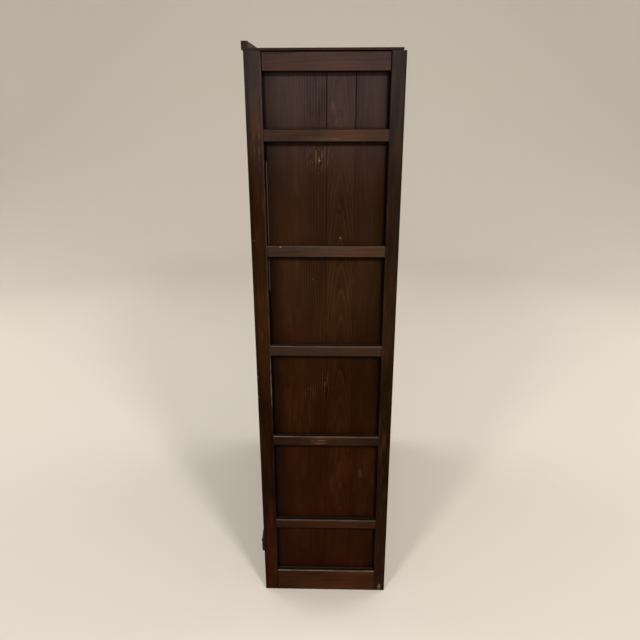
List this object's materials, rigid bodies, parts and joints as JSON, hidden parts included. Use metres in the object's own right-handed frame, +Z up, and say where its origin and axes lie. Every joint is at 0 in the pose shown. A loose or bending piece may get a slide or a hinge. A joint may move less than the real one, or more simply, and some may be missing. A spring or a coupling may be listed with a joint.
{
  "type": "kitchen tansu cabinet",
  "caption": "Tall narrow wooden cupboard with framed side walls, lattice and panelled sliding doors, and a wide bottom drawer with iron bail pulls, for storing kitchenware.",
  "frame": {"origin": "on the floor, under the middle of the whole object's box", "axes": "+Z up, the front with the doors faces -Y, the width runs along X, the pictured side is the +X side"},
  "size_m": [0.9, 0.3925, 1.5648],
  "materials": {
    "frame_wood": "dark brown stain under a worn satin lacquer",
    "wall_wood": "dark brown stained cedar boards with a satin lacquer",
    "door_wood": "dark brown stain with a satin lacquer",
    "raw_wood": "aged unfinished softwood",
    "iron": "blackened wrought iron"
  },
  "bodies": {
    "carcass": {"post_front_left": "frame_wood", "post_front_right": "frame_wood", "post_rear_left": "frame_wood", "post_rear_right": "frame_wood", "side_rail_left_1": "frame_wood", "side_rail_left_2": "frame_wood", "side_rail_left_3": "frame_wood", "side_rail_left_4": "frame_wood", "side_rail_left_5": "frame_wood", "side_rail_left_6": "frame_wood", "side_rail_left_7": "frame_wood", "side_rail_right_1": "frame_wood", "side_rail_right_2": "frame_wood", "side_rail_right_3": "frame_wood", "side_rail_right_4": "frame_wood", "side_rail_right_5": "frame_wood", "side_rail_right_6": "frame_wood", "side_rail_right_7": "frame_wood", "side_wall_left": "wall_wood", "side_wall_right": "wall_wood", "front_rail_top": "frame_wood", "front_rail_middle": "frame_wood", "front_rail_lower": "frame_wood", "front_rail_bottom": "frame_wood", "rear_rail_top": "frame_wood", "rear_rail_middle": "frame_wood", "rear_rail_bottom": "frame_wood", "back_wall": "raw_wood", "top_board": "wall_wood", "cornice_moulding": "frame_wood", "shelf_upper": "raw_wood", "shelf_middle": "raw_wood", "floor_upper": "raw_wood", "shelf_lower": "raw_wood", "floor_lower": "raw_wood", "bottom_board": "raw_wood", "drawer_guide_left": "raw_wood", "drawer_guide_right": "raw_wood"},
    "upper_door_left": {"upper_door_left_frame": "door_wood", "upper_door_left_lattice": "wall_wood", "upper_door_left_pull": "iron"},
    "upper_door_right": {"upper_door_right_frame": "door_wood", "upper_door_right_lattice": "wall_wood", "upper_door_right_pull": "iron"},
    "lower_door_left": {"lower_door_left_frame": "door_wood", "lower_door_left_panel": "wall_wood", "lower_door_left_pull": "iron"},
    "lower_door_right": {"lower_door_right_frame": "door_wood", "lower_door_right_panel": "wall_wood", "lower_door_right_pull": "iron"},
    "drawer": {"drawer_front": "door_wood", "drawer_side_left": "raw_wood", "drawer_side_right": "raw_wood", "drawer_back": "raw_wood", "drawer_bottom": "raw_wood", "drawer_pull_plate_left": "iron", "drawer_pull_plate_right": "iron"},
    "bail_left": {"drawer_bail_left": "iron"},
    "bail_right": {"drawer_bail_right": "iron"}
  },
  "joints": [
    {"name": "upper_door_left_slide", "type": "slide", "parent": "carcass", "child": "upper_door_left", "axis": [1, 0, 0], "range_m": [0, 0.391]},
    {"name": "upper_door_right_slide", "type": "slide", "parent": "carcass", "child": "upper_door_right", "axis": [1, 0, 0], "range_m": [-0.391, 0]},
    {"name": "lower_door_left_slide", "type": "slide", "parent": "carcass", "child": "lower_door_left", "axis": [1, 0, 0], "range_m": [0, 0.391]},
    {"name": "lower_door_right_slide", "type": "slide", "parent": "carcass", "child": "lower_door_right", "axis": [1, 0, 0], "range_m": [-0.391, 0]},
    {"name": "drawer_slide", "type": "slide", "parent": "carcass", "child": "drawer", "axis": [0, -1, 0], "range_m": [0, 0.24]},
    {"name": "bail_left_swing", "type": "hinge", "parent": "drawer", "child": "bail_left", "pos_m": [-0.3, -0.18275, 0.137], "axis": [-1, 0, 0], "range_deg": [0, 85]},
    {"name": "bail_right_swing", "type": "hinge", "parent": "drawer", "child": "bail_right", "pos_m": [0.3, -0.18275, 0.137], "axis": [-1, 0, 0], "range_deg": [0, 85]}
  ]
}
